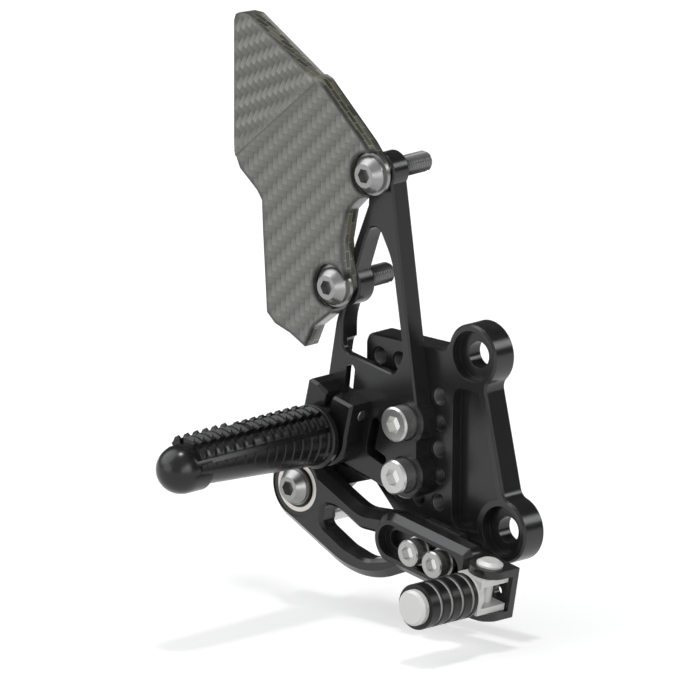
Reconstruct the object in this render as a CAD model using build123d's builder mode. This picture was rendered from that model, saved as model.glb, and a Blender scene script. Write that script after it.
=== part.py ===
from build123d import *
import os
from math import acos, atan2, cos, degrees, radians, sin

os.makedirs("parts", exist_ok=True)

# Millimetres. X runs forward along the motorcycle, Z up and Y inboard. The origin is the centre of the
# upper frame bolt's bore on the mounting face, and every depth below is measured outboard from that face.

# Stack of depths
plate_thickness = 10.0
bracket_thickness = 8.0
plate_front = plate_thickness
bracket_front = plate_front + bracket_thickness
fit_gap = 0.1

# Mount plate
frame_bolt_spacing = Vector(15.83, -63.4)
boss_radius = 12.0
frame_bore_radius = 5.05
frame_counterbore_radius = 9.5
frame_counterbore_depth = 4.0
plate_left = -53.0
plate_rim = 4.0
plate_corner_radius = 4.5
plate_chamfer = 0.8
hole_pitch = 10.0
tapped_radius = 3.4
tapped_chamfer = 0.8
column = Vector(-15.75, -8.06)
pocket_depth = 4.4
pocket_left = -9.0
pocket_rib = 1.5

# Peg bracket
bracket_bolt_upper = Vector(-25.75, -28.06)
bracket_lobe_radius = 9.0
bracket_chamfer = 0.6
waist_x = -20.3
web_thickness = 2.8
arm_step = 1.0
peg_axis = Vector(-57.2, -36.6)
pivot = Vector(-71.4, -59.3)
pivot_boss_radius = 9.5
guard_bolt_upper = Vector(-39.4, 64.0)
guard_bolt_lower = Vector(-57.4, 18.5)
guard_boss_radius = 7.0
guard_lug_radius = 8.5

# M8 screws that hold the bracket to the plate
m8_radius = 4.0
m8_clearance_radius = 4.2
m8_thread_radius = tapped_radius - 0.05
socket_head_radius = 6.5
socket_head_height = 8.0
head_sink = 2.0
hex_key_m8 = 6.0

# Clevis and folding peg
clevis_tilt = 13.0
clevis_depth = 10.8
clevis_half_width = 11.3
clevis_round = 12.0
ear_top = 16.35
ear_gap_left = -1.3
ear_gap_right = 2.2
ear_gap_floor = 4.5
fold_height = 11.0
fold_depth = bracket_front + 3.75
fold_pin_radius = 2.2
tongue_radius = 4.5
tongue_clearance = 0.15
peg_gap = 2.2
neck_radius = 7.0
flange_radius = 12.0
flange_thickness = 4.3
tooth_root_radius = 9.6
inner_pitch = 4.5
outer_pitch = 5.0
inner_teeth = 8
outer_teeth = 6
barrel_radius = 11.3
barrel_end_radius = 9.1
rim_radius = 12.8
gap_reach = 115.0
groove_sink = 0.3
flange_chamfer = 1.2
tip_radius = 9.2
tip_lift = 0.5
tip_start = 96.6
dome_start = 104.0
dome_length = 9.8
band_width = 1.7
groove_width = 2.0
groove_angles = (38, 72, 108, 142)

# Brake pedal
pedal_back = 20.0
pedal_thickness = 7.0
pedal_front = pedal_back + pedal_thickness
pedal_chamfer = 3.0
eye_radius = 14.0
eye_recess_radius = 11.5
bearing_radius = 9.5
bearing_bore_radius = 4.0
bearing_width = 6.0
window_chamfer = 1.3
block_start = Vector(-22.9, -70.7)
block_tilt = 10.3
block_half_height = 10.0
block_length = 35.3
block_corner = 3.5
block_chamfer = 2.5
block_depth = 8.0
block_front = pedal_back + block_depth
block_pocket_radius = 6.0
block_pocket_depth = 4.0
block_slot_radius = 3.3
block_slot_length = 28.5
stud_radius = 3.35
stud_place = Vector(-61.1, -68.5)
stud_length = 16.0

# Toe piece
holder_thickness = 3.0
m6_radius = 3.0
m6_head_radius = 5.0
m6_head_height = 6.0
m6_washer_radius = 5.5
m6_washer_thickness = 1.2
toe_bolt_first = block_length - 23.5
toe_bolt_spacing = 12.1
tab_left = 9.0
tab_width = 17.0
yoke_left = block_length + 3.8
yoke_width = 15.2
yoke_height = 19.6
yoke_drop = 2.1
yoke_hole = Vector(1.3, -1.0)
yoke_hole_radius = 2.0
yoke_arm = 3.0
toe_pin_radius = 2.5
toe_pin_depth = 25.2
toe_head_radius = 4.95
toe_head_height = 1.8
toe_core_height = 13.4
toe_ear = 2.5
toe_stop = 6.0
rubber_radius = 8.55
rubber_start = 38.3
rubber_length = 24.5

# Heel guard
guard_back = bracket_front
guard_depth = 7.0
guard_front = guard_back + guard_depth
guard_skin = 2.5
guard_pad = 3.0
guard_wing_angle = 15.0
wing_flare = 9.0
guard_bolt_length = 29.0
button_head_radius = 7.0
button_head_height = 4.4
guard_washer_thickness = 1.5
guard_washer_radius = 8.0


def outboard(depth, *points):
    """Planes facing outboard at this depth, one centred on each (x, z) point."""
    return [Plane((point.X, -depth, point.Y), x_dir=(1, 0, 0), z_dir=(0, -1, 0)) for point in points]


def tilted(depth, origin, angle, along=0.0, above=0.0):
    """A plane facing outboard, turned down to the right by this angle, at a place in its own directions."""
    turned = Plane((origin.X, -depth, origin.Y), x_dir=(cos(radians(angle)), 0, -sin(radians(angle))),
                   z_dir=(0, -1, 0))
    return Plane(turned * Pos(along, above))


def near(shapes, *points):
    """The vertices that lie nearest to the given sketch points."""
    return [shapes.sort_by_distance(Vertex(point.X, point.Y, 0))[0] for point in points]


def slot_path(start, end, radius, mode=Mode.ADD):
    """A round-ended slot from one sketch point to another."""
    run = end - start
    with Locations(start + run * 0.5):
        SlotCenterToCenter(run.length, 2 * radius, rotation=degrees(atan2(run.Y, run.X)), mode=mode)


origin = Vector(0, 0)
frame_bolt_lower = frame_bolt_spacing
boss_line = frame_bolt_spacing.normalized()
plate_edge = Vector(-boss_line.Y, boss_line.X)
bracket_bolt_lower = bracket_bolt_upper - Vector(0, 2 * hole_pitch)
bracket_bolts_at = [bracket_bolt_upper, bracket_bolt_lower]

# Mount plate: two bosses for the frame bolts, a grid of tapped holes and a long pocket
plate_bottom = frame_bolt_lower.Y - boss_radius
edge_top = plate_edge * plate_rim
edge_bottom = frame_bolt_lower + plate_edge * plate_rim
column_holes = [column - Vector(0, hole_pitch * step) for step in range(1, 6)]
row_holes = [column - Vector(hole_pitch * step, 0) for step in range(1, 4)]
low_holes = [column - Vector(hole_pitch * step, hole_pitch * 5) for step in range(1, 3)]

with BuildPart() as mount_plate:
    with BuildSketch(*outboard(0, origin)) as plate_face:
        with BuildLine():
            Polyline(
                (plate_left, 0), (edge_top.X + 0.2, 0), (edge_bottom.X, edge_bottom.Y),
                (frame_bolt_lower.X, plate_bottom), (-28.2, plate_bottom), (plate_left, -51.1), close=True,
            )
        make_face()
        fillet(near(plate_face.vertices(), Vector(plate_left, 0)), plate_corner_radius)
        fillet(near(plate_face.vertices(), Vector(plate_left, -51.1), Vector(-28.2, plate_bottom)), 3)
        with Locations(origin, frame_bolt_lower):
            Circle(boss_radius)
        boss_joins = [
            Vector(-boss_radius, 0),
            edge_top + boss_line * 11.3,
            edge_bottom - boss_line * 11.3,
        ]
        fillet(near(plate_face.vertices(), *boss_joins), plate_corner_radius)
    extrude(amount=plate_thickness)
    front_face = mount_plate.faces().sort_by(Axis.Y)[0]
    chamfer(front_face.outer_wire().edges(), plate_chamfer)
    with BuildSketch(*outboard(plate_front, origin)) as pocket_face:
        rib_top = plate_edge * pocket_rib + boss_line * 8
        rib_bottom = frame_bolt_lower + plate_edge * pocket_rib
        with BuildLine():
            Polyline(
                (pocket_left, -13), (rib_top.X, -13), (rib_bottom.X, rib_bottom.Y),
                (rib_bottom.X, -66), (pocket_left, -66), close=True,
            )
        make_face()
        with Locations(origin, frame_bolt_lower):
            Circle(boss_radius, mode=Mode.SUBTRACT)
        fillet(near(pocket_face.vertices(), Vector(pocket_left, -13)), 4)
        fillet(near(pocket_face.vertices(), Vector(pocket_left, -66)), 4)
    extrude(amount=-pocket_depth, mode=Mode.SUBTRACT)
    with Locations(*outboard(plate_front, origin, frame_bolt_lower)):
        CounterBoreHole(frame_bore_radius, frame_counterbore_radius, frame_counterbore_depth)
    with Locations(*outboard(plate_front, *column_holes, *row_holes, *low_holes, *bracket_bolts_at)):
        Hole(tapped_radius)

# Peg bracket: an open A-frame with a lower arm that carries the pedal pivot
window = [
    Vector(-41.9, 46.5), Vector(-46.4, 37.8), Vector(-57.3, 5.5), Vector(-57.3, -6.7), Vector(-31.3, -11.3),
    Vector(-27.0, -3.0), Vector(-33.1, 31.1),
]
with BuildPart() as peg_bracket:
    with BuildSketch(*outboard(plate_front, origin)) as bracket_face:
        with BuildLine():
            Polyline(
                (-45.0, 62.0), (-45.4, 50.4), (-51.9, 34.1), (-60.7, 3.3), (-64.1, -16.6),
                (-66.5, -46.7), (-54.5, -49.8), (-28.0, -56.7), (waist_x, -48.0), (waist_x, -29.1),
                (-19.5, -24.3), (-24.8, 6.85), (-32.6, 54.7), (-33.8, 62.0), close=True,
            )
        make_face()
        with BuildLine():
            FilletPolyline(
                *[(point.X, point.Y) for point in window], radius=[3.6, 20, 20, 4, 3.5, 8, 30], close=True
            )
        make_face(mode=Mode.SUBTRACT)
        with Locations(guard_bolt_upper):
            Circle(guard_boss_radius)
        with Locations(guard_bolt_lower):
            Circle(guard_lug_radius)
        with Locations(*bracket_bolts_at):
            Circle(bracket_lobe_radius)
    extrude(amount=bracket_thickness)
    front_face = peg_bracket.faces().filter_by(Plane.XZ).sort_by(Axis.Y)[0]
    chamfer(front_face.edges(), bracket_chamfer)
    with BuildSketch(*outboard(plate_front, origin)):
        with BuildLine():
            Polyline((-60, -44), (-60, -50), (-42.9, -53.1), (-55.6, -57.3), (-62.0, -63.0),
                     (-71.4, -59.3), (-78.0, -52.5), (-66.0, -30.0), close=True)
        make_face()
        with Locations(pivot):
            Circle(pivot_boss_radius)
    extrude(amount=bracket_thickness - arm_step)
    with BuildSketch(*outboard(plate_front, origin)):
        with BuildLine():
            FilletPolyline((-58.5, -2), (-34, -6), (-34, -23), (-62.0, -23), radius=2.5, close=True)
        make_face()
    extrude(amount=bracket_thickness - web_thickness, mode=Mode.SUBTRACT)
    with BuildSketch(*outboard(bracket_front, origin)):
        slot_path(Vector(-52.9, -13.2), Vector(-54.9, -31.0), 2.1)
        slot_path(Vector(-40.1, -31.1), Vector(-42.5, -40.5), 2.1)
        slot_path(Vector(-42.5, -42.0), Vector(-36.5, -44.2), 1.9)
    extrude(amount=-bracket_thickness, mode=Mode.SUBTRACT)
    with Locations(*outboard(bracket_front, *bracket_bolts_at)):
        CounterBoreHole(m8_clearance_radius, socket_head_radius + 0.4, head_sink)
    with Locations(*outboard(bracket_front, guard_bolt_upper, guard_bolt_lower)):
        Hole(tapped_radius)
    with Locations(*outboard(bracket_front - arm_step, pivot)):
        Hole(tapped_radius)
    with Locations(Plane((peg_axis.X, -plate_front, peg_axis.Y), x_dir=(1, 0, 0), z_dir=(0, 1, 0))):
        CounterSinkHole(m8_clearance_radius, m8_radius * 2 + 0.1)

# Two socket head screws through the bracket
screw_seat = bracket_front - head_sink
with BuildPart() as bracket_bolts:
    with BuildSketch(*outboard(screw_seat, *bracket_bolts_at)):
        Circle(socket_head_radius)
    extrude(amount=socket_head_height)
    chamfer(bracket_bolts.edges().filter_by(GeomType.CIRCLE).group_by(Axis.Y)[0], 0.7)
    with BuildSketch(*outboard(screw_seat, *bracket_bolts_at)):
        Circle(m8_thread_radius)
    extrude(amount=-(screw_seat - 1))
    with BuildSketch(*outboard(screw_seat + socket_head_height, *bracket_bolts_at)):
        RegularPolygon(hex_key_m8 / 2, 6, major_radius=False)
    extrude(amount=-hex_key_m8 * 0.65, mode=Mode.SUBTRACT)

# Clevis: two ears with a gap between them for the tongue of the peg
clevis_front = bracket_front + clevis_depth
with BuildPart() as peg_clevis:
    with BuildSketch(tilted(bracket_front, peg_axis, clevis_tilt)) as clevis_face:
        with BuildLine():
            Polyline(
                (-clevis_half_width, 0), (-clevis_half_width, ear_top + 0.6), (-9.9, ear_top + 1.85),
                (-6.1, ear_top + 1.65), (-1.0, ear_top), (clevis_half_width + 0.3, ear_top),
                (clevis_half_width + 0.3, 0), close=True,
            )
        make_face()
        Circle(clevis_round)
        with Locations((0, -clevis_round)):
            Rectangle(4 * clevis_half_width, 1.0, align=(Align.CENTER, Align.MAX), mode=Mode.SUBTRACT)
    extrude(amount=clevis_depth)
    front_face = peg_clevis.faces().filter_by(Plane.XZ).sort_by(Axis.Y)[0]
    chamfer(front_face.edges(), 1.0)
    with BuildSketch(tilted(clevis_front, peg_axis, clevis_tilt)):
        with BuildLine():
            Polyline((ear_gap_left, ear_gap_floor), (ear_gap_left, 3 * ear_top), (ear_gap_right, 3 * ear_top),
                     (ear_gap_right, ear_gap_floor), close=True)
        make_face()
    extrude(amount=-clevis_depth, mode=Mode.SUBTRACT)
    pin_plane = Plane(
        tilted(fold_depth, peg_axis, clevis_tilt, 0, fold_height).origin,
        x_dir=(0, -1, 0), z_dir=(cos(radians(clevis_tilt)), 0, -sin(radians(clevis_tilt))),
    )
    with BuildSketch(pin_plane):
        Circle(fold_pin_radius + 0.05)
    extrude(amount=2 * clevis_half_width, both=True, mode=Mode.SUBTRACT)
    with BuildSketch(tilted(bracket_front, peg_axis, clevis_tilt)):
        Circle(m8_thread_radius + 0.05)
    extrude(amount=clevis_depth - 5, mode=Mode.SUBTRACT)

# Countersunk screw that holds the clevis from behind
with BuildPart() as clevis_bolt:
    with BuildSketch(Plane((peg_axis.X, -plate_front, peg_axis.Y), x_dir=(1, 0, 0), z_dir=(0, -1, 0))):
        Circle(m8_radius * 2)
    extrude(amount=m8_radius * 2 - m8_thread_radius - 0.2, taper=45)
    with BuildSketch(*outboard(plate_front + 1, peg_axis)):
        Circle(m8_thread_radius)
    extrude(amount=bracket_thickness + clevis_depth - 7)
    with BuildSketch(*outboard(plate_front, peg_axis)):
        RegularPolygon(2.5, 6, major_radius=False)
    extrude(amount=3.5, mode=Mode.SUBTRACT)

# Fold pin through both ears
with BuildPart() as footpeg_pin:
    with BuildSketch(pin_plane):
        Circle(fold_pin_radius)
    extrude(amount=clevis_half_width + 0.2, both=True)
    chamfer(footpeg_pin.edges().filter_by(GeomType.CIRCLE), 0.4)

# Folding peg: tongue, flange, two zones of split teeth, smooth band and domed tip
peg_start = clevis_front + peg_gap
body_start = peg_start + flange_thickness
inner_end = body_start + inner_teeth * inner_pitch
outer_start = inner_end + band_width
teeth_end = outer_start + outer_teeth * outer_pitch
peg_side = Plane((peg_axis.X, 0, peg_axis.Y), x_dir=(0, -1, 0),
                 z_dir=(-cos(radians(clevis_tilt)), 0, sin(radians(clevis_tilt))))
peg_line = Axis((peg_axis.X, 0, peg_axis.Y), (0, -1, 0))
tip_side = Plane(tilted(0, peg_axis, clevis_tilt, 0, tip_lift).origin, x_dir=(0, -1, 0), z_dir=peg_side.z_dir)
gaps = [(body_start + tooth * inner_pitch, inner_pitch) for tooth in range(inner_teeth)]
gaps += [(outer_start + tooth * outer_pitch, outer_pitch) for tooth in range(outer_teeth)]
gap_start = radians(clevis_tilt + gap_reach)
gap_plane = Plane((peg_axis.X, 0, peg_axis.Y), x_dir=(0, -1, 0), z_dir=(-cos(gap_start), 0, sin(gap_start)))
with BuildPart() as footpeg:
    for depth, radius in ((body_start - 0.5, barrel_radius), (teeth_end, barrel_end_radius)):
        with BuildSketch(tilted(depth, peg_axis, clevis_tilt, 0, flange_radius - radius)):
            Circle(radius)
    loft()
    with BuildSketch(gap_plane):
        for left, pitch in gaps:
            Polygon((left, rim_radius), (left + 0.5 * pitch, tooth_root_radius),
                    (left + 0.65 * pitch, rim_radius), align=None)
    revolve(axis=peg_line, revolution_arc=2 * gap_reach, mode=Mode.SUBTRACT)
    with BuildSketch(tilted(body_start, peg_axis, clevis_tilt)):
        for angle in groove_angles:
            with Locations(Rot(0, 0, angle) * Pos(tooth_root_radius - groove_sink, 0, 0)):
                Rectangle(6, groove_width, align=(Align.MIN, Align.CENTER))
    extrude(amount=teeth_end - body_start, mode=Mode.SUBTRACT)
    with BuildSketch(peg_side):
        with BuildLine():
            Polyline((peg_start, 0), (peg_start, flange_radius - flange_chamfer),
                     (peg_start + flange_chamfer, flange_radius), (body_start - flange_chamfer, flange_radius),
                     (body_start, flange_radius - flange_chamfer), (body_start, 0), close=True)
        make_face()
    revolve(axis=peg_line)
    with BuildSketch(tip_side):
        with BuildLine():
            Polyline((tip_start, 0), (tip_start, tip_radius), (dome_start, tip_radius))
            EllipticalCenterArc((dome_start, 0), dome_length, tip_radius, start_angle=0, arc_size=90)
            Line((dome_start + dome_length, 0), (tip_start, 0))
        make_face()
    revolve(axis=Axis(tip_side.origin, (0, -1, 0)))
    with BuildSketch(tilted(clevis_front + fit_gap, peg_axis, clevis_tilt)):
        Circle(neck_radius)
    extrude(amount=peg_gap)
    with BuildSketch(Plane(tilted(0, peg_axis, clevis_tilt, ear_gap_right - tongue_clearance).origin,
                           x_dir=(0, -1, 0), z_dir=peg_side.z_dir)):
        with Locations((fold_depth, fold_height)):
            Circle(tongue_radius)
        with BuildLine():
            Polyline((fold_depth, fold_height - tongue_radius), (fold_depth, fold_height + 2.0),
                     (peg_start + 1, fold_height - 1.5), (peg_start + 1, 0),
                     (clevis_front + fit_gap, ear_gap_floor + 0.3), (fold_depth, ear_gap_floor + 0.5), close=True)
        make_face()
        with Locations((fold_depth, fold_height)):
            Circle(fold_pin_radius + 0.05, mode=Mode.SUBTRACT)
    extrude(amount=ear_gap_right - ear_gap_left - 2 * tongue_clearance)

# Brake pedal: eye, bevelled arms round a long window and a raised block with a stepped slot
def block_outline():
    """The raised block seen from outboard: round at the rear, with two small corners in front."""
    Circle(block_half_height)
    with Locations((block_length / 2, 0)):
        Rectangle(block_length, 2 * block_half_height)
    with Locations((block_length - block_corner / 2, 0)):
        RectangleRounded(3 * block_corner, 2 * block_half_height, block_corner)


heel_line_end = Vector(-53.9, -83.7)
heel_reach = heel_line_end - pivot
heel_turn = degrees(acos(eye_radius / heel_reach.length))
heel_tangent = pivot + heel_reach.normalized().rotate(Axis.Z, -heel_turn) * eye_radius
with BuildPart() as brake_pedal:
    with BuildSketch(*outboard(pedal_back, origin)) as pedal_face:
        with BuildLine():
            Polyline(heel_tangent, pivot, (-65.8, -48.6), (-41.8, -60.4), (-38.0, -61.9), (-25.3, -61.0),
                     (-18.0, -62.8), (-15.2, -80.9), (-26.4, -85.6))
            TangentArc(heel_line_end, (-26.4, -85.6), tangent=heel_line_end - heel_tangent)
            Line(heel_line_end, heel_tangent)
        make_face()
        fillet(near(pedal_face.vertices(), Vector(-38.0, -61.9)), 12)
        with Locations(pivot):
            Circle(eye_radius)
        fillet(near(pedal_face.vertices(), Vector(-59.4, -52.4)), 5)
    extrude(amount=pedal_thickness)
    front_face = brake_pedal.faces().filter_by(Plane.XZ).sort_by(Axis.Y)[0]
    chamfer(front_face.outer_wire().edges(), pedal_chamfer)
    with BuildSketch(*outboard(pedal_front, origin)) as pedal_window:
        with BuildLine():
            FilletPolyline((-58.8, -62.0), (-50.6, -62.4), (-39.5, -68.1), (-22.0, -68.3), (-22.0, -78.6),
                           (-36.5, -81.9), (-47, -79.0), (-60.2, -72.0), radius=[4, 4, 8, 1, 1, 12, 14, 5],
                           close=True)
        make_face()
        offset(amount=-window_chamfer)
    extrude(amount=-pedal_thickness, mode=Mode.SUBTRACT)
    window_rim = brake_pedal.faces().filter_by(Plane.XZ).sort_by(Axis.Y)[0].inner_wires()[0]
    chamfer(window_rim.edges(), window_chamfer)
    with BuildSketch(tilted(pedal_back, block_start, block_tilt)):
        block_outline()
    extrude(amount=block_depth - block_chamfer)
    with BuildSketch(tilted(block_front - block_chamfer, block_start, block_tilt)):
        block_outline()
    extrude(amount=block_chamfer, taper=45)
    with BuildSketch(tilted(block_front, block_start, block_tilt)):
        slot_path(origin, Vector(block_slot_length, 0), block_pocket_radius)
    extrude(amount=-block_pocket_depth, mode=Mode.SUBTRACT)
    with BuildSketch(tilted(block_front, block_start, block_tilt)):
        slot_path(origin, Vector(block_slot_length, 0), block_slot_radius)
    extrude(amount=-block_depth, mode=Mode.SUBTRACT)
    with Locations(*outboard(pedal_front, pivot)):
        CounterBoreHole(bearing_radius, eye_recess_radius, pedal_thickness - bearing_width)

# Pivot bearing, its washer, screw and spacer
with BuildPart() as bearing_outer_race:
    with BuildSketch(*outboard(pedal_back, pivot)):
        Circle(bearing_radius)
        Circle(bearing_radius - 1.6, mode=Mode.SUBTRACT)
    extrude(amount=bearing_width)

with BuildPart() as bearing_shield:
    with BuildSketch(*outboard(pedal_back + 0.3, pivot)):
        Circle(bearing_radius - 1.6)
        Circle(bearing_bore_radius + 1.7, mode=Mode.SUBTRACT)
    extrude(amount=bearing_width - 0.6)

with BuildPart() as bearing_inner_race:
    with BuildSketch(*outboard(pedal_back, pivot)):
        Circle(bearing_bore_radius + 1.6)
        Circle(bearing_bore_radius, mode=Mode.SUBTRACT)
    extrude(amount=bearing_width)

with BuildPart() as pedal_spacer:
    with BuildSketch(*outboard(bracket_front - arm_step, pivot)):
        Circle(bearing_bore_radius + 1.6)
        Circle(bearing_bore_radius, mode=Mode.SUBTRACT)
    extrude(amount=pedal_back - bracket_front + arm_step)

with BuildPart() as pedal_washer:
    with BuildSketch(*outboard(pedal_back + bearing_width, pivot)):
        Circle(bearing_bore_radius + 2.9)
        Circle(bearing_bore_radius, mode=Mode.SUBTRACT)
    extrude(amount=1.0)

pivot_seat = pedal_back + bearing_width + 1.0
with BuildPart() as pedal_bolt:
    with BuildSketch(*outboard(pivot_seat, pivot)):
        Circle(socket_head_radius)
    extrude(amount=1.2)
    with BuildSketch(*outboard(pivot_seat + 1.2, pivot)):
        Circle(socket_head_radius)
    extrude(amount=2.8, taper=38)
    with BuildSketch(*outboard(pivot_seat, pivot)):
        Circle(bearing_bore_radius - 0.05)
    extrude(amount=-(pivot_seat - bracket_front + arm_step))
    with BuildSketch(*outboard(bracket_front - arm_step, pivot)):
        Circle(m8_thread_radius)
    extrude(amount=-(bracket_thickness - arm_step))
    with BuildSketch(*outboard(pivot_seat + 4.0, pivot)):
        RegularPolygon(2.5, 6, major_radius=False)
    extrude(amount=-2.8, mode=Mode.SUBTRACT)

# Stud for the master cylinder's pushrod
with BuildPart() as pushrod_stud:
    with BuildSketch(*outboard(pedal_back, stud_place)):
        Circle(stud_radius)
    extrude(amount=-stud_length)
    chamfer(pushrod_stud.edges().filter_by(GeomType.CIRCLE).group_by(Axis.Y)[-1], 0.6)

# Toe holder: a plate behind the block that ends in a yoke for the toe peg
holder_front = pedal_back
pin_along = yoke_left + yoke_width / 2
toe_arms = [yoke_height / 2 - yoke_arm - yoke_drop, -yoke_height / 2 - yoke_drop]
toe_bolts_at = [toe_bolt_first, toe_bolt_first + toe_bolt_spacing]


def in_block(depth, *alongs):
    """Planes facing outboard on the centre line of the block, at these distances along it."""
    return [tilted(depth, block_start, block_tilt, along) for along in alongs]


def in_yoke(depth):
    """A plane facing outboard on the line through the middle of the yoke and its pin."""
    return tilted(depth, block_start, block_tilt, pin_along, -yoke_drop)


with BuildPart() as toe_holder:
    with BuildSketch(tilted(holder_front - holder_thickness, block_start, block_tilt)) as holder_face:
        with Locations((4.5, 0)):
            Rectangle(22.5, 2 * block_half_height - 0.6, align=(Align.MIN, Align.CENTER))
        fillet(near(holder_face.vertices(), Vector(4.5, 11), Vector(4.5, -11)), 5)
        with Locations((tab_left, 0)):
            Rectangle(tab_width, block_half_height + 0.5, align=(Align.MIN, Align.MIN))
        with Locations((20, -yoke_drop)):
            Rectangle(yoke_left - 18, yoke_height, align=(Align.MIN, Align.CENTER))
        with Locations((yoke_left, -yoke_drop)):
            Rectangle(yoke_width, yoke_height, align=(Align.MIN, Align.CENTER))
    extrude(amount=holder_thickness)
    for height in toe_arms:
        arm_plane = Plane(
            tilted(0, block_start, block_tilt, pin_along, height).origin, x_dir=(0, -1, 0),
            z_dir=(sin(radians(block_tilt)), 0, cos(radians(block_tilt))),
        )
        with BuildSketch(arm_plane):
            with Locations((toe_pin_depth, 0)):
                Circle(yoke_width / 2)
            with Locations((holder_front - holder_thickness, 0)):
                Rectangle(toe_pin_depth - holder_front + holder_thickness, yoke_width,
                          align=(Align.MIN, Align.CENTER))
            with Locations((toe_pin_depth, 0)):
                Circle(toe_pin_radius + 0.05, mode=Mode.SUBTRACT)
        extrude(amount=yoke_arm)
    with Locations(*in_block(holder_front, *toe_bolts_at)):
        Hole(m6_radius + 0.2)
    with Locations(Plane(in_yoke(holder_front) * Pos(*yoke_hole))):
        Hole(yoke_hole_radius)

# Screws, washers and nuts that clamp the toe holder to the slotted block
toe_seat = block_front - block_pocket_depth + m6_washer_thickness
with BuildPart() as toe_washers:
    with BuildSketch(*in_block(block_front - block_pocket_depth, *toe_bolts_at)):
        Circle(m6_washer_radius)
        Circle(m6_radius + 0.1, mode=Mode.SUBTRACT)
    extrude(amount=m6_washer_thickness)

with BuildPart() as toe_bolts:
    with BuildSketch(*in_block(toe_seat, *toe_bolts_at)):
        Circle(m6_head_radius)
    extrude(amount=m6_head_height)
    chamfer(toe_bolts.edges().filter_by(GeomType.CIRCLE).group_by(Axis.Y)[0], 0.5)
    with BuildSketch(*in_block(toe_seat, *toe_bolts_at)):
        Circle(m6_radius)
    extrude(amount=-(toe_seat - holder_front + holder_thickness + 6))
    with BuildSketch(*in_block(toe_seat + m6_head_height, *toe_bolts_at)):
        RegularPolygon(2.5, 6, major_radius=False)
    extrude(amount=-3.2, mode=Mode.SUBTRACT)

with BuildPart() as toe_nuts:
    with BuildSketch(*in_block(holder_front - holder_thickness, *toe_bolts_at)):
        RegularPolygon(5.0, 6, major_radius=False)
        Circle(m6_radius + 0.05, mode=Mode.SUBTRACT)
    extrude(amount=-5.0)

# Toe pin with domed heads above and below the yoke
pin_top = Plane(
    in_yoke(toe_pin_depth).origin, x_dir=(0, -1, 0),
    z_dir=(sin(radians(block_tilt)), 0, cos(radians(block_tilt))),
)
with BuildPart() as toe_pin:
    with BuildSketch(pin_top):
        Circle(toe_pin_radius)
    extrude(amount=yoke_height / 2, both=True)
    with BuildSketch(pin_top.offset(yoke_height / 2), pin_top.offset(-yoke_height / 2 - toe_head_height)):
        Circle(toe_head_radius)
    extrude(amount=toe_head_height)
    outer_rims = toe_pin.edges().filter_by(lambda edge: edge.geom_type == GeomType.CIRCLE and edge.radius > 4)
    chamfer([outer_rims.sort_by(Axis.Z)[-1], outer_rims.sort_by(Axis.Z)[0]], 1.1, 1.6)

# Toe peg: silver fork on the pin, core through the rubber
yoke_inner_floor = holder_front + 0.5
with BuildPart() as toe_peg:
    with BuildSketch(pin_top.offset(-toe_core_height / 2)) as fork:
        Circle(toe_pin_depth - yoke_inner_floor)
        Rectangle(toe_pin_depth - yoke_inner_floor, toe_stop, align=(Align.MAX, Align.MIN))
        Rectangle(10.0, 2 * toe_stop, align=(Align.MIN, Align.CENTER))
        Circle(toe_pin_radius + 0.06, mode=Mode.SUBTRACT)
    extrude(amount=toe_core_height)
    with BuildSketch(pin_top.offset(-toe_core_height / 2 + toe_ear)):
        with Locations((1.0, 0)):
            Rectangle(14, 20, align=(Align.CENTER, Align.CENTER))
    extrude(amount=toe_core_height - 2 * toe_ear, mode=Mode.SUBTRACT)
    with BuildSketch(in_yoke(toe_pin_depth + 8.0)):
        Circle(toe_core_height / 2)
    extrude(amount=rubber_start - toe_pin_depth - 8.0)
    with BuildSketch(in_yoke(rubber_start)):
        Circle(4.0)
    extrude(amount=rubber_length)

with BuildPart() as toe_rubber:
    toe_side = Plane(in_yoke(0).origin, x_dir=(0, -1, 0),
                     z_dir=(cos(radians(block_tilt)), 0, -sin(radians(block_tilt))))
    toe_line = Axis(toe_side.origin, (0, -1, 0))
    with BuildSketch(toe_side):
        with BuildLine():
            ring = [(rubber_start, 4.02), (rubber_start, rubber_radius)]
            for groove in range(4):
                at = rubber_start + rubber_length * (0.09 + 0.2327 * groove)
                ring += [(at - 0.9, rubber_radius), (at, rubber_radius - 1.5), (at + 0.9, rubber_radius)]
            ring += [(rubber_start + rubber_length, rubber_radius), (rubber_start + rubber_length, 4.02)]
            Polyline(*ring, close=True)
        make_face()
    revolve(axis=toe_line)

with BuildPart() as toe_end_cap:
    with BuildSketch(in_yoke(rubber_start + rubber_length)):
        Circle(6.7)
    extrude(amount=3.0)
    chamfer(toe_end_cap.edges().filter_by(GeomType.CIRCLE).group_by(Axis.Y)[0], 1.0)

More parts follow.
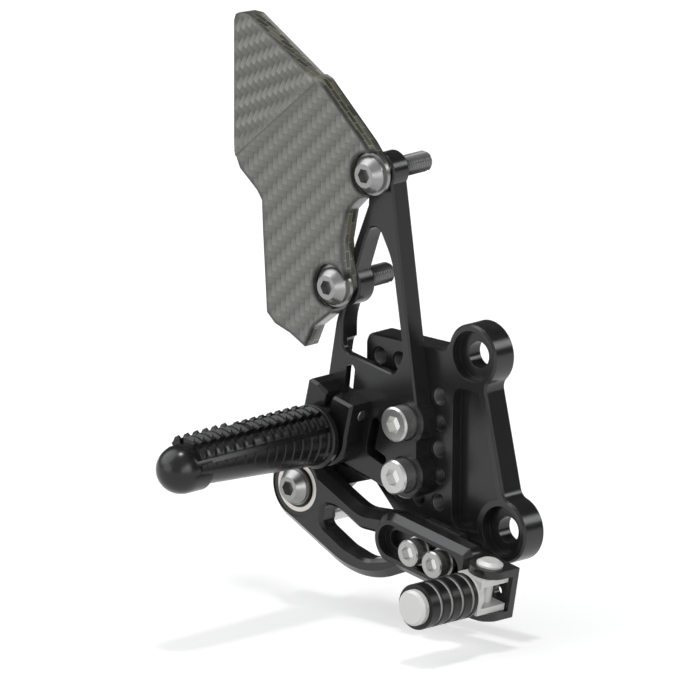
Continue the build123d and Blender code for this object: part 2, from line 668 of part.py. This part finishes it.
# Heel guard: a thin shell with a bent wing and a pad at each screw
bend_low = Vector(-105.9, 61.3)
bend_high = Vector(-63.5, 98.7)
bend_line = (bend_high - bend_low).normalized()
guard_outline = [
    (-105.9, 61.3), (-102.8, 55.1), (-94.2, 48.4), (-91.7, 45.1), (-91.0, 33.8), (-88.5, 3.3), (-84.4, -0.2),
    (-76.9, -2.5), (-69.3, -6.3), (-65.9, 1.4), (-56.5, 9.0), (-49.2, 19.0), (-50.8, 26.0), (-52.0, 36.1),
    (-49.7, 48.3), (-43.7, 54.3), (-35.0, 57.5), (-33.5, 67.0), (-41.1, 75.5), (-63.5, 95.2), (-66.5, 96.2),
]
with BuildPart() as heel_guard:
    with BuildSketch(*outboard(guard_back, origin)):
        with BuildLine():
            Polyline(*guard_outline, close=True)
        make_face()
    extrude(amount=guard_depth)
    wing_plane = Plane(
        (bend_high.X, -guard_front, bend_high.Y), x_dir=(bend_line.X, 0, bend_line.Y),
        z_dir=(-bend_line.Y * sin(radians(guard_wing_angle)), -cos(radians(guard_wing_angle)),
               bend_line.X * sin(radians(guard_wing_angle))),
    )
    with BuildSketch(wing_plane):
        with BuildLine():
            Polyline((-57.0, -2.0), (-55.7, 1.7), (-34.9, 42.7), (-33.0, 44.2), (-30.6, 43.5), (-26.8, 40.4),
                     (-5.9, 1.3), (-4.4, -2.0), close=True)
        make_face()
    extrude(amount=-guard_depth, taper=-wing_flare)
    with BuildSketch(*outboard(guard_back, origin)):
        with BuildLine():
            Polyline(*guard_outline, close=True)
        make_face()
        offset(amount=-guard_skin)
        with Locations(guard_bolt_lower, guard_bolt_upper):
            Circle(guard_washer_radius + 2.0, mode=Mode.SUBTRACT)
    extrude(amount=guard_depth - guard_skin, mode=Mode.SUBTRACT)
    with BuildSketch(*outboard(guard_back + guard_pad, guard_bolt_upper, guard_bolt_lower)):
        Circle(guard_washer_radius + 0.4)
    extrude(amount=guard_depth, mode=Mode.SUBTRACT)
    with Locations(*outboard(guard_front, guard_bolt_upper, guard_bolt_lower)):
        Hole(m8_clearance_radius)

guard_bolts_at = [guard_bolt_upper, guard_bolt_lower]
guard_seat = guard_back + guard_pad + guard_washer_thickness
with BuildPart() as guard_washers:
    with BuildSketch(*outboard(guard_back + guard_pad, *guard_bolts_at)):
        Circle(guard_washer_radius)
        Circle(m8_clearance_radius, mode=Mode.SUBTRACT)
    extrude(amount=guard_washer_thickness)

with BuildPart() as guard_bolts:
    with BuildSketch(*outboard(guard_seat, *guard_bolts_at)):
        Circle(button_head_radius)
    extrude(amount=1.4)
    with BuildSketch(*outboard(guard_seat + 1.4, *guard_bolts_at)):
        Circle(button_head_radius)
    extrude(amount=button_head_height - 1.4, taper=40)
    with BuildSketch(*outboard(guard_seat, *guard_bolts_at)):
        Circle(m8_thread_radius)
    extrude(amount=-guard_bolt_length)
    with BuildSketch(*outboard(guard_seat + button_head_height, *guard_bolts_at)):
        RegularPolygon(2.5, 6, major_radius=False)
    extrude(amount=-2.8, mode=Mode.SUBTRACT)

pieces = {
    "mount_plate": mount_plate,
    "peg_bracket": peg_bracket,
    "bracket_bolts": bracket_bolts,
    "peg_clevis": peg_clevis,
    "clevis_bolt": clevis_bolt,
    "footpeg": footpeg,
    "footpeg_pin": footpeg_pin,
    "brake_pedal": brake_pedal,
    "bearing_outer_race": bearing_outer_race,
    "bearing_shield": bearing_shield,
    "bearing_inner_race": bearing_inner_race,
    "pedal_spacer": pedal_spacer,
    "pedal_washer": pedal_washer,
    "pedal_bolt": pedal_bolt,
    "pushrod_stud": pushrod_stud,
    "toe_holder": toe_holder,
    "toe_washers": toe_washers,
    "toe_bolts": toe_bolts,
    "toe_nuts": toe_nuts,
    "toe_pin": toe_pin,
    "toe_peg": toe_peg,
    "toe_rubber": toe_rubber,
    "toe_end_cap": toe_end_cap,
    "heel_guard": heel_guard,
    "guard_washers": guard_washers,
    "guard_bolts": guard_bolts,
}
for label, piece in pieces.items():
    piece.part.label = label
    export_step(piece.part, f"parts/{label}.step")
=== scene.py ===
import math

import bmesh
import bpy
from mathutils import Matrix, Vector


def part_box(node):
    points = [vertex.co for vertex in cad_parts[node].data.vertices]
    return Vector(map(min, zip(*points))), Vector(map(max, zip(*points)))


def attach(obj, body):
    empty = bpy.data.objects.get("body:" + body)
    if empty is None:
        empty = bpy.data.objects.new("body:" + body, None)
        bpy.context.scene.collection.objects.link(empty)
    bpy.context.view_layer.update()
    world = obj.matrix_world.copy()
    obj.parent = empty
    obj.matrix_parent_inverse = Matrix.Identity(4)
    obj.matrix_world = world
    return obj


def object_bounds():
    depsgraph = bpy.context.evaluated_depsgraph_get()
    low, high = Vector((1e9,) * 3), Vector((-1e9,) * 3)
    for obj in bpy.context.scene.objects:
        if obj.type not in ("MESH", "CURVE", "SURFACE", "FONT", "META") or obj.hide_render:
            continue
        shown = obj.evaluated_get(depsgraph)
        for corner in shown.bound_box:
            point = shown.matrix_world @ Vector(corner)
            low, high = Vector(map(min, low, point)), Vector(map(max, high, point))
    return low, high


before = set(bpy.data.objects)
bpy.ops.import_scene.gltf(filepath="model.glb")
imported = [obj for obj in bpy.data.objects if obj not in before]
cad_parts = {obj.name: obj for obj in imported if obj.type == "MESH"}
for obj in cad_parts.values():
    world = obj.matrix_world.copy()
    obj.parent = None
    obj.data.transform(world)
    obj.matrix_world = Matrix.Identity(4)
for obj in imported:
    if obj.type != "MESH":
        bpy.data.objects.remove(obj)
cad_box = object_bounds()
MM = 0.001


def colour(code):
    """An sRGB hex colour as the linear values that sockets take."""
    channels = [int(code[at:at + 2], 16) / 255 for at in (0, 2, 4)]
    return [c / 12.92 if c <= 0.04045 else ((c + 0.055) / 1.055) ** 2.4 for c in channels] + [1.0]


def add(tree, kind, settings=None, inputs=None):
    """Adds a node, with its settings and its input values or links."""
    node = tree.nodes.new("ShaderNode" + kind)
    for name, value in (settings or {}).items():
        setattr(node, name, value)
    for name, value in (inputs or {}).items():
        if isinstance(value, bpy.types.NodeSocket):
            tree.links.new(value, node.inputs[name])
        else:
            node.inputs[name].default_value = value
    return node


def maths(tree, operation, *values):
    """The result of one sum on these values or links."""
    return add(tree, "Math", {"operation": operation}, dict(enumerate(values))).outputs[0]


def remap(tree, value, start, end, at_start, at_end):
    """A value moved from one range to another and held at its ends."""
    return add(tree, "MapRange", inputs={0: value, 1: start, 2: end, 3: at_start, 4: at_end}).outputs[0]


def blend(tree, share, first, second):
    """A colour between two colours."""
    return add(tree, "MixRGB", inputs={0: share, 1: first, 2: second}).outputs[0]


def between(tree, share, first, second):
    """A number between two numbers."""
    return add(tree, "Mix", inputs={0: share, 2: first, 3: second}).outputs[0]


def noise(tree, place, scale, detail):
    """Random marks at this scale."""
    return add(tree, "TexNoise", inputs={"Vector": place, "Scale": scale, "Detail": detail}).outputs[0]


def y_of(tree, vector):
    """The part of a vector along Y, the axis that the screws lie on."""
    return add(tree, "SeparateXYZ", inputs={0: vector}).outputs[1]


def dot(tree, first, second):
    """How far two directions agree, from -1 to 1."""
    return add(tree, "VectorMath", {"operation": "DOT_PRODUCT"}, {0: first, 1: second}).outputs["Value"]


def surface(name, **values):
    """A material with one Principled surface; returns it with its tree and surface node."""
    material = bpy.data.materials.new(name)
    material.use_nodes = True
    tree = material.node_tree
    shader = tree.nodes["Principled BSDF"]
    for socket, value in values.items():
        shader.inputs[socket.replace("_", " ")].default_value = value
    return material, tree, shader


# Camera: parallel view, as the photograph has it
picture_width = 0.2565
camera_distance = 0.6
camera_data = bpy.data.cameras.new("camera")
camera_data.type = "ORTHO"
camera_data.ortho_scale = picture_width
camera = bpy.data.objects.new("camera", camera_data)
bpy.context.scene.collection.objects.link(camera)
bpy.context.scene.camera = camera
to_right = Vector((0.7320, 0.6813, 0.0120)).normalized()
to_camera = Vector((0.6576, -0.7109, 0.2497)).normalized()
to_top = to_camera.cross(to_right).normalized()
picture_centre = Vector((-0.0422, -0.0300, -0.0017))
camera.matrix_world = Matrix((to_right, to_top, to_camera)).transposed().to_4x4()
camera.location = picture_centre + to_camera * camera_distance

# White floor: a painted board that keeps the shadows, a little under the object
floor_gap = 0.010
floor_reach = 4.0
floor_glow = 0.52
bm = bmesh.new()
bmesh.ops.create_grid(bm, x_segments=1, y_segments=1, size=floor_reach)
bmesh.ops.translate(bm, vec=(0, 0, cad_box[0][2] - floor_gap), verts=bm.verts)
floor_mesh = bpy.data.meshes.new("studio_floor")
bm.to_mesh(floor_mesh)
bm.free()
studio_floor = bpy.data.objects.new("studio_floor", floor_mesh)
bpy.context.scene.collection.objects.link(studio_floor)
board, tree, shader = surface("white_painted_board", Base_Color=colour("CFCFCF"), Roughness=0.9,
                              Specular_IOR_Level=0.0, Emission_Color=colour("FFFFFF"))
path = add(tree, "LightPath").outputs
seen = maths(tree, "MAXIMUM", path["Is Camera Ray"], path["Is Glossy Ray"])
seen = maths(tree, "MAXIMUM", seen, path["Is Transmission Ray"])
tree.links.new(maths(tree, "MULTIPLY", seen, floor_glow), shader.inputs["Emission Strength"])
floor_mesh.materials.append(board)

# Soft light: a room pale in front and dark behind, with soft boxes that streak round walls
front_level, back_level = 0.62, 0.07
pale_until, dark_from = -0.15, 0.35
box_share_on_dull = 0.3
# Each soft box: where it stands, the angles where it starts and is full, and its strength
soft_boxes = (
    ((-0.62, -0.32, 0.70), 34, 26, 2.6),
    ((0.57, 0.71, 0.42), 11, 7, 5.0),
    ((-0.35, 0.80, 0.25), 9, 6, 3.0),
    ((0.90, -0.10, 0.42), 12, 8, 2.5),
)
world = bpy.data.worlds.new("pale_room")
bpy.context.scene.world = world
world.use_nodes = True
tree = world.node_tree
tree.nodes.clear()
looking = add(tree, "TexCoord").outputs["Generated"]
diffuse_ray = add(tree, "LightPath").outputs["Is Diffuse Ray"]
box_share = remap(tree, diffuse_ray, 0.0, 1.0, 1.0, box_share_on_dull)
level = remap(tree, y_of(tree, looking), pale_until, dark_from, front_level, back_level)
for towards, outer, inner, strength in soft_boxes:
    near = dot(tree, looking, Vector(towards).normalized())
    outer_edge = math.cos(math.radians(outer))
    inner_edge = math.cos(math.radians(inner))
    glow = remap(tree, near, outer_edge, inner_edge, 0.0, strength)
    level = maths(tree, "MULTIPLY_ADD", glow, box_share, level)
room = add(tree, "Background", inputs={"Color": colour("F7F8FA"), "Strength": level})
add(tree, "OutputWorld", inputs={"Surface": room.outputs[0]})


def sun(name, towards, strength, spread):
    """A distant lamp that shines from this direction, spread in degrees."""
    data = bpy.data.lights.new(name, "SUN")
    data.energy = strength
    data.angle = math.radians(spread)
    lamp = bpy.data.objects.new(name, data)
    lamp.rotation_euler = Vector(towards).to_track_quat("Z", "Y").to_euler()
    bpy.context.scene.collection.objects.link(lamp)


sun("overhead_lamp", (0.0, 0.0, 1.0), strength=0.95, spread=7)
sun("front_lamp", (-0.35, -0.90, 0.15), strength=0.8, spread=45)
sun("side_lamp", (0.95, -0.30, 0.08), strength=1.2, spread=45)

bpy.context.scene.view_settings.view_transform = "Standard"


def cloudy_tint(tree, shader, place, scale, tint):
    """Lets the colour drift between two tints."""
    cloud = noise(tree, place, scale, detail=2.0)
    tree.links.new(blend(tree, cloud, colour(tint[0]), colour(tint[1])), shader.inputs["Base Color"])


def uneven_gloss(tree, shader, grain, lowest, highest):
    """Lets the roughness follow a fine grain."""
    tree.links.new(remap(tree, grain, 0.0, 1.0, lowest, highest), shader.inputs["Roughness"])


def anodised(name, tint, rough, metal):
    """Machined and etched aluminium under its dyed or clear oxide, with a dull metal gloss."""
    material, tree, shader = surface(name, Metallic=metal, Roughness=rough)
    place = add(tree, "TexCoord").outputs["Object"]
    grain = noise(tree, place, scale=900.0, detail=3.0)
    cloudy_tint(tree, shader, place, scale=45.0, tint=tint)
    uneven_gloss(tree, shader, grain, lowest=rough - 0.04, highest=rough + 0.05)
    return material, tree, shader, grain


def soften(tree, shader, grain, radius, strength):
    """Rounds the shading of sharp edges by this radius and adds a fine surface grain."""
    grain_depth = 0.00003
    edge = add(tree, "Bevel", {"samples": 4}, {"Radius": radius})
    bump = add(tree, "Bump", inputs={"Strength": strength, "Distance": grain_depth, "Height": grain,
                                     "Normal": edge.outputs[0]})
    tree.links.new(bump.outputs[0], shader.inputs["Normal"])


# Black anodised aluminium: near black, with a dull gloss and pale edges
black_anodised, tree, shader, grain = anodised("black_anodised_aluminium", ("1C1C1C", "212121"),
                                               rough=0.22, metal=0.05)
soften(tree, shader, grain, radius=0.00025, strength=0.08)
# The footpeg and its clevis: the same finish with sharper edges
barrel_anodised, tree, shader, grain = anodised("black_anodised_barrel", ("1A1A1A", "212121"),
                                                rough=0.25, metal=0.3)
soften(tree, shader, grain, radius=0.00012, strength=0.10)
# Threads in the tapped holes: the dye is thin there, so they are grey
thread_anodised, *_ = anodised("black_anodised_thread", ("505050", "585856"), rough=0.30, metal=0.4)
# Silver anodised aluminium: clear oxide over an etched surface, pale and dull
silver_anodised, *_ = anodised("silver_anodised_aluminium", ("D0D0CC", "D6D6D2"), rough=0.45, metal=0.15)


def turned_steel(name, tint, rough, metal, painted_glow_from=None):
    """Steel with a fine grain and a soft shine; given a depth, the outward faces behind it, the floors of hex
    sockets, glow with painted light.
    """
    outward_limit = -0.9
    painted_glow_strength = 0.7
    material, tree, shader = surface(name, Metallic=metal, Roughness=rough)
    place = add(tree, "TexCoord").outputs["Object"]
    cloudy_tint(tree, shader, place, scale=120.0, tint=tint)
    marks = noise(tree, place, scale=1500.0, detail=2.0)
    uneven_gloss(tree, shader, marks, lowest=rough - 0.04, highest=rough + 0.06)
    # Painted light: the floors of the hex sockets glow pale where they would lie in shade
    if painted_glow_from is not None:
        facing = y_of(tree, add(tree, "NewGeometry").outputs["Normal"])
        outward = maths(tree, "LESS_THAN", facing, outward_limit)
        behind = maths(tree, "GREATER_THAN", y_of(tree, place), painted_glow_from)
        painted_glow_floor = maths(tree, "MULTIPLY", outward, behind)
        shader.inputs["Emission Color"].default_value = colour("F2F2F0")
        glow = maths(tree, "MULTIPLY", painted_glow_floor, painted_glow_strength)
        tree.links.new(glow, shader.inputs["Emission Strength"])
    return material


# Stainless steel, bright: turned and cold-headed, on the parts that are little seen and on the screws
head_rim = 0.001
stainless = turned_steel("stainless_steel", ("CACAC8", "D4D4D2"), rough=0.28, metal=0.9)
# The plate and toe screws: their hex socket floors glow with painted light
plate_screws = turned_steel("stainless_plate_screws", ("BABAB8", "C4C4C2"), rough=0.28, metal=0.9,
                            painted_glow_from=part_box("bracket_bolts")[0].y + head_rim)
toe_screws = turned_steel("stainless_toe_screws", ("A4A4A2", "B0B0AE"), rough=0.28, metal=0.9,
                          painted_glow_from=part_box("toe_bolts")[0].y + head_rim)
# Stainless steel, dull: the button heads, their washers and the fold pin
dull_steel = turned_steel("dull_stainless_steel", ("8C8C8C", "989896"), rough=0.30, metal=0.9)
# Rolled threads: darker than the heads
thread_steel = turned_steel("rolled_thread_steel", ("6C6C6C", "787878"), rough=0.30, metal=0.9)
# Bearing steel: ground rings with a warm tint
bearing_steel = turned_steel("bearing_steel", ("C8C2BD", "D3CDC8"), rough=0.36, metal=0.8)


def moulded_rubber(name):
    """Dull black rubber with a faint sheen."""
    material, tree, shader = surface(name, Base_Color=colour("101010"), Roughness=0.34,
                                     Specular_IOR_Level=0.35)
    place = add(tree, "TexCoord").outputs["Object"]
    grain = noise(tree, place, scale=1400.0, detail=3.0)
    uneven_gloss(tree, shader, grain, lowest=0.28, highest=0.42)
    bump = add(tree, "Bump", inputs={"Strength": 0.2, "Distance": 0.00004, "Height": grain})
    tree.links.new(bump.outputs[0], shader.inputs["Normal"])
    return material, tree, shader, place


# Seal rubber: the bearing's shield
shield_rubber, *_ = moulded_rubber("seal_rubber")
# Grooved rubber: the toe sleeve, with pale grey painted highlights along its grooves
black_rubber, tree, shader, place = moulded_rubber("grooved_rubber")
sleeve_low, sleeve_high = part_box("toe_rubber")
sleeve = sleeve_high.y - sleeve_low.y
# Along the sleeve, as shares of its length; then in pitches, from one groove to the next
first_groove = 0.09
groove_step = 0.2327
last_groove = 3.5
full_within, gone_beyond = 0.07, 0.12
from_first = maths(tree, "SUBTRACT", sleeve_high.y - first_groove * sleeve, y_of(tree, place))
pitches = maths(tree, "DIVIDE", from_first, groove_step * sleeve)
apart = maths(tree, "ABSOLUTE", maths(tree, "SUBTRACT", pitches, maths(tree, "ROUND", pitches)))
in_groove = remap(tree, apart, full_within, gone_beyond, 1.0, 0.0)
painted_groove_highlight = maths(tree, "MULTIPLY", in_groove, maths(tree, "LESS_THAN", pitches, last_groove))
# Painted highlight: the grooves are coloured pale grey
tree.links.new(blend(tree, painted_groove_highlight, colour("101010"), colour("BEBEBA")), shader.inputs["Base Color"])


def twill(tree, across, along, tow):
    """Which tow lies on top, how far across it a point is, and how far along its visible float."""
    over = 2.0
    repeat = 2 * over
    column = maths(tree, "DIVIDE", across, tow)
    row = maths(tree, "DIVIDE", along, tow)
    step = maths(tree, "SUBTRACT", maths(tree, "FLOOR", row), maths(tree, "FLOOR", column))
    phase = maths(tree, "FLOORED_MODULO", step, repeat)
    upright = maths(tree, "LESS_THAN", phase, over - 0.5)
    in_column = maths(tree, "FRACT", column)
    in_row = maths(tree, "FRACT", row)
    up_run = maths(tree, "MULTIPLY", maths(tree, "ADD", phase, in_row), 1 / over)
    flat_phase = maths(tree, "SUBTRACT", repeat, phase)
    flat_start = maths(tree, "SUBTRACT", in_column, 1.0)
    flat_run = maths(tree, "MULTIPLY", maths(tree, "ADD", flat_phase, flat_start), 1 / over)
    cross = between(tree, upright, in_row, in_column)
    run = between(tree, upright, flat_run, up_run)
    return upright, cross, run


def hump(tree, share):
    """A rounded height, 0 at both sides of a tow and 1 in its middle."""
    both = maths(tree, "MULTIPLY", share, maths(tree, "SUBTRACT", 1.0, share))
    return maths(tree, "POWER", maths(tree, "MULTIPLY", both, 4.0), 0.5)


# Carbon fibre: two-over, two-under twill of 2.4 mm tows under clear resin; cut edges show the layers
carbon, tree, shader = surface("twill_carbon_fibre", Roughness=0.32, Coat_Weight=0.6, Coat_Roughness=0.12)
place = add(tree, "TexCoord").outputs["Object"]
side, out, height = add(tree, "SeparateXYZ", inputs={0: place}).outputs
# The guard's bend: a point on it, its direction, and how far past it a place is
bend_side, bend_height = -0.0847, 0.0800
bend_run, bend_rise = 42.4 / 56.54, 37.4 / 56.54
weave_blend = 0.004
past_bend = maths(tree, "SUBTRACT",
                  maths(tree, "MULTIPLY", maths(tree, "SUBTRACT", height, bend_height), bend_run),
                  maths(tree, "MULTIPLY", maths(tree, "SUBTRACT", side, bend_side), bend_rise))
from_bend = maths(tree, "ABSOLUTE", past_bend)
on_wing = remap(tree, past_bend, -weave_blend, weave_blend, 0.0, 1.0)
# The wing's weave is turned against the body's
wing_turn = math.radians(-20)
wing_side = maths(tree, "ADD", maths(tree, "MULTIPLY", side, math.cos(wing_turn)),
                  maths(tree, "MULTIPLY", height, math.sin(wing_turn)))
wing_height = maths(tree, "SUBTRACT", maths(tree, "MULTIPLY", height, math.cos(wing_turn)),
                    maths(tree, "MULTIPLY", side, math.sin(wing_turn)))
tow = 2.4 * MM
body_up, body_cross, body_run = twill(tree, side, height, tow)
wing_up, wing_cross, wing_run = twill(tree, wing_side, wing_height, tow)
cross = between(tree, on_wing, body_cross, wing_cross)
run = between(tree, on_wing, body_run, wing_run)
body_shade = blend(tree, body_up, colour("595952"), colour("696962"))
wing_shade = blend(tree, wing_up, colour("53534C"), colour("71716A"))
shade = blend(tree, on_wing, body_shade, wing_shade)
tow_height = maths(tree, "MULTIPLY", hump(tree, cross), hump(tree, run))
# Painted shade: tows are darker at their sides, and a painted gradient makes each float paler at its start
# and darker at its end; they are also finely striped
side_share, side_level = 0.55, 0.55
start_level, end_level = 1.35, 0.70
darkest_fibre, palest_fibre = 0.92, 1.08
painted_tow_shade = remap(tree, tow_height, 0.0, side_share, side_level, 1.0)
painted_float_gradient = remap(tree, run, 0.0, 1.0, start_level, end_level)
strand = noise(tree, place, scale=2600.0, detail=1.0)
fibre = remap(tree, strand, 0.0, 1.0, darkest_fibre, palest_fibre)
level = maths(tree, "MULTIPLY", maths(tree, "MULTIPLY", painted_tow_shade, painted_float_gradient), fibre)
woven = add(tree, "VectorMath", {"operation": "SCALE"}, {0: shade, "Scale": level}).outputs[0]
# Cut edges: layers of dark and pale ends with thin resin lines
bend_line = 0.0012
face_from = 0.8
edge_run, edge_fall = 0.62, 0.78
facing = add(tree, "NewGeometry").outputs["Normal"]
straight = maths(tree, "ABSOLUTE", y_of(tree, facing))
near_bend = maths(tree, "LESS_THAN", from_bend, bend_line)
on_face = maths(tree, "MAXIMUM", maths(tree, "GREATER_THAN", straight, face_from), near_bend)
along_edge = maths(tree, "SUBTRACT", maths(tree, "MULTIPLY", side, edge_run),
                   maths(tree, "MULTIPLY", height, edge_fall))
edge_place = add(tree, "CombineXYZ", inputs={0: along_edge, 1: out}).outputs[0]
layers = add(tree, "TexBrick", {"offset": 0.5}, {
    "Vector": edge_place, "Color1": colour("2E2E26"), "Color2": colour("6A6A5C"),
    "Mortar": colour("96968A"), "Scale": 1.0, "Mortar Size": 0.00012, "Mortar Smooth": 0.4,
    "Bias": -0.1, "Brick Width": 0.0052, "Row Height": 0.0021})
cut = blend(tree, on_face, layers.outputs[0], woven)
# Rims: painted shade, a dark band where the resin turns over the edge, which fades out at the bend
rim_radius = 0.0036
rim_start, rim_full, rim_share = 0.992, 0.90, 0.95
bare_until, rimmed_from = 0.002, 0.005
edge = add(tree, "Bevel", {"samples": 8}, {"Radius": rim_radius}).outputs[0]
painted_rim_shade = remap(tree, dot(tree, edge, facing), rim_start, rim_full, 0.0, rim_share)
painted_rim_shade = maths(tree, "MULTIPLY", painted_rim_shade, remap(tree, from_bend, bare_until, rimmed_from, 0.0, 1.0))
tree.links.new(blend(tree, painted_rim_shade, cut, colour("1C1C17")), shader.inputs["Base Color"])
bump_height = maths(tree, "MULTIPLY", tow_height, on_face)
bump = add(tree, "Bump", inputs={"Strength": 0.5, "Distance": 0.00018, "Height": bump_height, "Normal": edge})
tree.links.new(bump.outputs[0], shader.inputs["Normal"])

finishes = {
    black_anodised: ["mount_plate", "peg_bracket", "brake_pedal", "toe_holder"],
    barrel_anodised: ["footpeg", "peg_clevis"],
    silver_anodised: ["toe_peg", "toe_end_cap", "pedal_spacer", "toe_pin"],
    plate_screws: ["bracket_bolts"],
    toe_screws: ["toe_bolts"],
    stainless: ["clevis_bolt", "pushrod_stud", "toe_washers", "toe_nuts"],
    dull_steel: ["footpeg_pin", "pedal_washer", "pedal_bolt", "guard_washers", "guard_bolts"],
    bearing_steel: ["bearing_outer_race", "bearing_inner_race"],
    black_rubber: ["toe_rubber"],
    shield_rubber: ["bearing_shield"],
    carbon: ["heel_guard"],
}
for finish, names in finishes.items():
    for name in names:
        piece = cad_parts[name]
        piece.data.materials.clear()
        piece.data.materials.append(finish)


def finished(name, bm, finish):
    """An object in the scene from these faces, turned outward, with this material."""
    bmesh.ops.recalc_face_normals(bm, faces=bm.faces)
    mesh = bpy.data.meshes.new(name)
    bm.to_mesh(mesh)
    bm.free()
    mesh.materials.append(finish)
    piece = bpy.data.objects.new(name, mesh)
    bpy.context.scene.collection.objects.link(piece)
    return piece


# Screw threads, in millimetres: M8 coarse, from just behind the plate's front and the hanger's back
thread_pitch = 1.25
thread_half_width = 0.42 * thread_pitch
thread_start = -9.4
steps_in_a_turn = 20


def thread(name, places, root, crest, length, finish, body):
    """Screw threads along Y: one ridge wound over this length at each (x, z) place."""
    bm = bmesh.new()
    turns = length / thread_pitch
    steps = int(turns * steps_in_a_turn)
    for x, z in places:
        start = [bm.verts.new(((x + radius) * MM, (thread_start + rise) * MM, z * MM))
                 for radius, rise in ((root, -thread_half_width), (crest, 0), (root, thread_half_width))]
        ring = [bm.edges.new((start[at], start[(at + 1) % 3])) for at in range(3)]
        bm.faces.new(start)
        made = bmesh.ops.spin(bm, geom=start + ring, cent=(x * MM, 0, z * MM), axis=(0, 1, 0),
                              dvec=(0, length * MM / steps, 0), angle=math.tau * turns, steps=steps)
        bm.faces.new([item for item in made["geom_last"] if isinstance(item, bmesh.types.BMVert)])
    piece = finished(name, bm, finish)
    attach(piece, body)


# The plate's ten tapped holes: a column at the right, and rows that run left from its two ends
hole_x, hole_top, hole_step = -15.75, -8.06, 10
hole_bottom = -58.06
plate_holes = [(hole_x, hole_top - hole_step * step) for step in range(1, 6)]
plate_holes += [(hole_x - hole_step * step, hole_top) for step in range(1, 4)]
plate_holes += [(hole_x - hole_step * step, hole_bottom) for step in range(1, 3)]
guard_screws = [(-39.4, 64.0), (-57.4, 18.5)]
thread("plate_threads", plate_holes, root=3.46, crest=2.8, length=8.8,
       finish=thread_anodised, body="hanger")
thread("guard_bolt_threads", guard_screws, root=3.3, crest=3.95, length=15.2,
       finish=thread_steel, body="hanger")


def leaned(start, lean, across, up, depth):
    """A point in millimetres from this (x, z) start, along axes that lean clockwise by this angle."""
    x = start[0] + across * math.cos(lean) + up * math.sin(lean)
    z = start[1] - across * math.sin(lean) + up * math.cos(lean)
    return x * MM, depth * MM, z * MM


def slot_web():
    """The thin web that closes the blind left end of the slot in the pedal's end block."""
    start = (-22.9, -70.7)
    lean = math.radians(10.3)
    radius = 3.25
    right_end = 7.6
    front = -20.05
    thickness = 1.0
    round_end = [(radius * math.cos(turn), radius * math.sin(turn))
                 for turn in (math.radians(90 + 15 * step) for step in range(13))]
    outline = [(right_end, radius)] + round_end + [(right_end, -radius)]
    bm = bmesh.new()
    face = bm.faces.new([bm.verts.new(leaned(start, lean, along, up, front)) for along, up in outline])
    raised = bmesh.ops.extrude_face_region(bm, geom=[face])
    moved = [item for item in raised["geom"] if isinstance(item, bmesh.types.BMVert)]
    bmesh.ops.translate(bm, vec=(0, -thickness * MM, 0), verts=moved)
    piece = finished("slot_web", bm, black_anodised)
    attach(piece, "pedal")


slot_web()


def peg_points():
    """The sharp crests of the footpeg's teeth: small three-sided fins along the top of the barrel."""
    axis = (-57.2, -36.6)
    lean = math.radians(13.0)
    barrel_start, barrel_end = 34.8, 103.0
    start_radius, end_radius = 11.3, 9.1
    top_radius = 12.0
    root = -0.4
    crest_width = 0.55
    # Each zone: its first tooth, its pitch, its number of teeth, and how far their crests rise
    zones = ((35.3, 4.5, 8, 0.7), (73.0, 5.0, 6, 1.3))
    # Each fin: the angle of its middle and half its width, in degrees
    fins = ((55, 9), (90, 10), (125, 10))
    fin_faces = ((0, 1, 3, 2), (2, 3, 5, 4), (4, 5, 1, 0), (0, 2, 4), (1, 5, 3))
    teeth = [(first + pitch * tooth, pitch, rise)
             for first, pitch, count, rise in zones for tooth in range(count)]
    bm = bmesh.new()
    for left, pitch, rise in teeth:
        profile = ((0.66, root, 1.0), (0.72, rise, crest_width), (1.02, root, 1.0))
        for middle, half in fins:
            corners = []
            for share, lift, width in profile:
                depth = left + share * pitch
                along = (depth - barrel_start) / (barrel_end - barrel_start)
                radius = start_radius + (end_radius - start_radius) * along
                shift = top_radius - radius
                for turn in (math.radians(middle - half * width), math.radians(middle + half * width)):
                    to_skin = math.sqrt(radius ** 2 - (shift * math.cos(turn)) ** 2)
                    reach = shift * math.sin(turn) + to_skin + lift
                    across, up = reach * math.cos(turn), reach * math.sin(turn)
                    corners.append(bm.verts.new(leaned(axis, lean, across, up, -depth)))
            for face in fin_faces:
                bm.faces.new([corners[at] for at in face])
    piece = finished("footpeg_tooth_points", bm, barrel_anodised)
    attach(piece, "peg")


peg_points()
